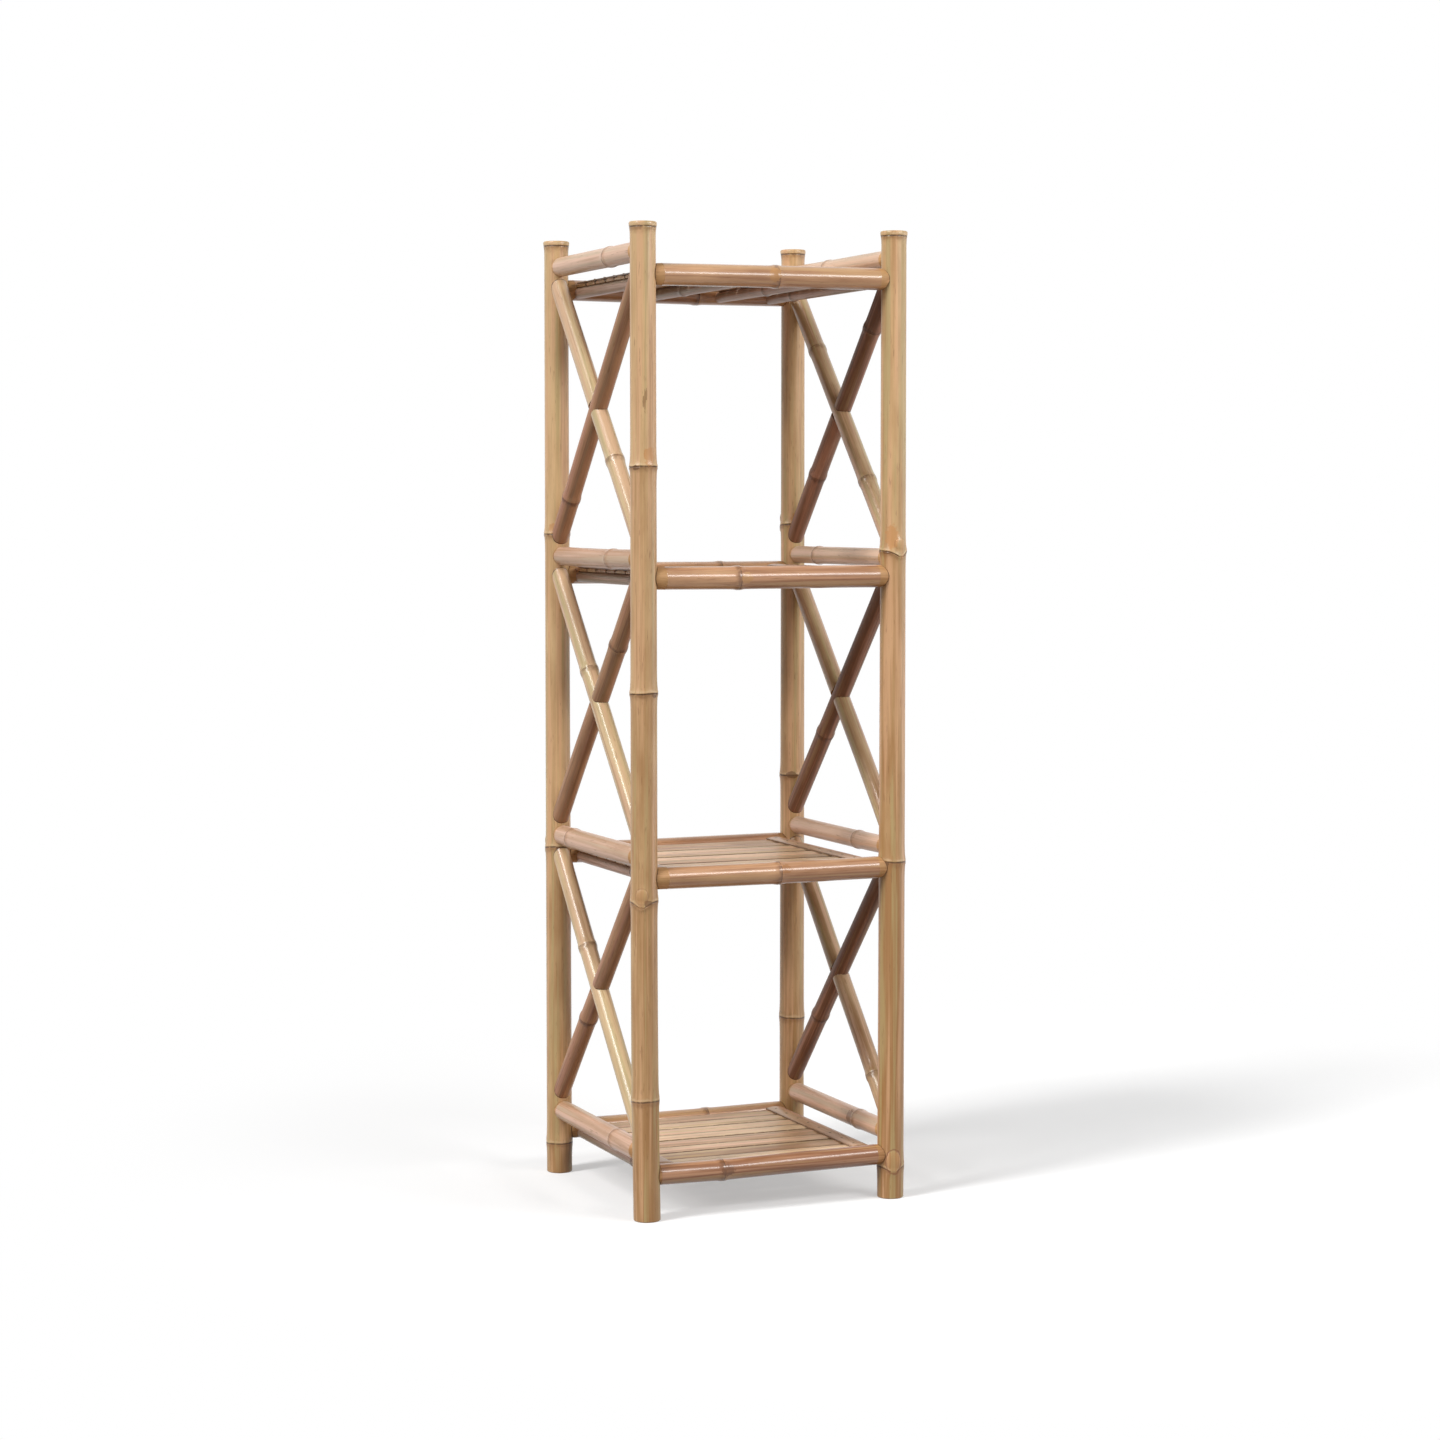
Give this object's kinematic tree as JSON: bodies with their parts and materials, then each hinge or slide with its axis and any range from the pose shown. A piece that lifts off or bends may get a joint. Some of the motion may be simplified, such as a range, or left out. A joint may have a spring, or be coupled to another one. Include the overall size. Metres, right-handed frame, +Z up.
{
  "type": "shelving unit",
  "caption": "Free-standing bamboo etagere: round posts, saddle-jointed rails, X braces at the sides and slatted shelves.",
  "frame": {"origin": "on the floor, at the middle of the footprint", "axes": "+Z up, -Y to the open front, +X to the right seen from the front"},
  "size_m": [0.4264, 0.3913, 1.395],
  "materials": {
    "post_bamboo": "natural bamboo culm, lightly varnished, satin",
    "front_rail_bamboo": "bamboo culm, golden, glossy clear varnish",
    "side_rail_bamboo": "bamboo culm, pale, satin varnish",
    "brace_bamboo": "thin bamboo culm, satin varnish",
    "slat_bamboo": "split bamboo, planed flat, satin",
    "bearer_bamboo": "thin bamboo culm, unvarnished underside",
    "strip_bamboo": "split bamboo strip, satin",
    "dowel_wood": "turned hardwood dowel, plain",
    "nail_steel": "steel nail"
  },
  "bodies": {
    "root": {"front_left_post": "post_bamboo", "front_right_post": "post_bamboo", "back_left_post": "post_bamboo", "back_right_post": "post_bamboo", "front_rail_1": "front_rail_bamboo", "front_rail_2": "front_rail_bamboo", "front_rail_3": "front_rail_bamboo", "front_rail_4": "front_rail_bamboo", "back_rail_1": "front_rail_bamboo", "back_rail_2": "front_rail_bamboo", "back_rail_3": "front_rail_bamboo", "back_rail_4": "front_rail_bamboo", "left_rail_1": "side_rail_bamboo", "left_rail_2": "side_rail_bamboo", "left_rail_3": "side_rail_bamboo", "left_rail_4": "side_rail_bamboo", "right_rail_1": "side_rail_bamboo", "right_rail_2": "side_rail_bamboo", "right_rail_3": "side_rail_bamboo", "right_rail_4": "side_rail_bamboo", "left_long_brace_1": "brace_bamboo", "left_long_brace_2": "brace_bamboo", "left_long_brace_3": "brace_bamboo", "right_long_brace_1": "brace_bamboo", "right_long_brace_2": "brace_bamboo", "right_long_brace_3": "brace_bamboo", "left_lower_brace_1": "brace_bamboo", "left_lower_brace_2": "brace_bamboo", "left_lower_brace_3": "brace_bamboo", "right_lower_brace_1": "brace_bamboo", "right_lower_brace_2": "brace_bamboo", "right_lower_brace_3": "brace_bamboo", "left_upper_brace_1": "brace_bamboo", "left_upper_brace_2": "brace_bamboo", "left_upper_brace_3": "brace_bamboo", "right_upper_brace_1": "brace_bamboo", "right_upper_brace_2": "brace_bamboo", "right_upper_brace_3": "brace_bamboo", "slats_1": "slat_bamboo", "slats_2": "slat_bamboo", "slats_3": "slat_bamboo", "slats_4": "slat_bamboo", "bearers_1": "bearer_bamboo", "bearers_2": "bearer_bamboo", "bearers_3": "bearer_bamboo", "bearers_4": "bearer_bamboo", "left_cap_strip_1": "strip_bamboo", "left_cap_strip_2": "strip_bamboo", "left_cap_strip_3": "strip_bamboo", "left_cap_strip_4": "strip_bamboo", "right_cap_strip_1": "strip_bamboo", "right_cap_strip_2": "strip_bamboo", "right_cap_strip_3": "strip_bamboo", "right_cap_strip_4": "strip_bamboo", "rail_dowels": "dowel_wood", "brace_dowels": "dowel_wood", "crossing_dowels": "dowel_wood", "bearer_pegs": "dowel_wood", "strip_nails": "nail_steel"}
  },
  "joints": []
}
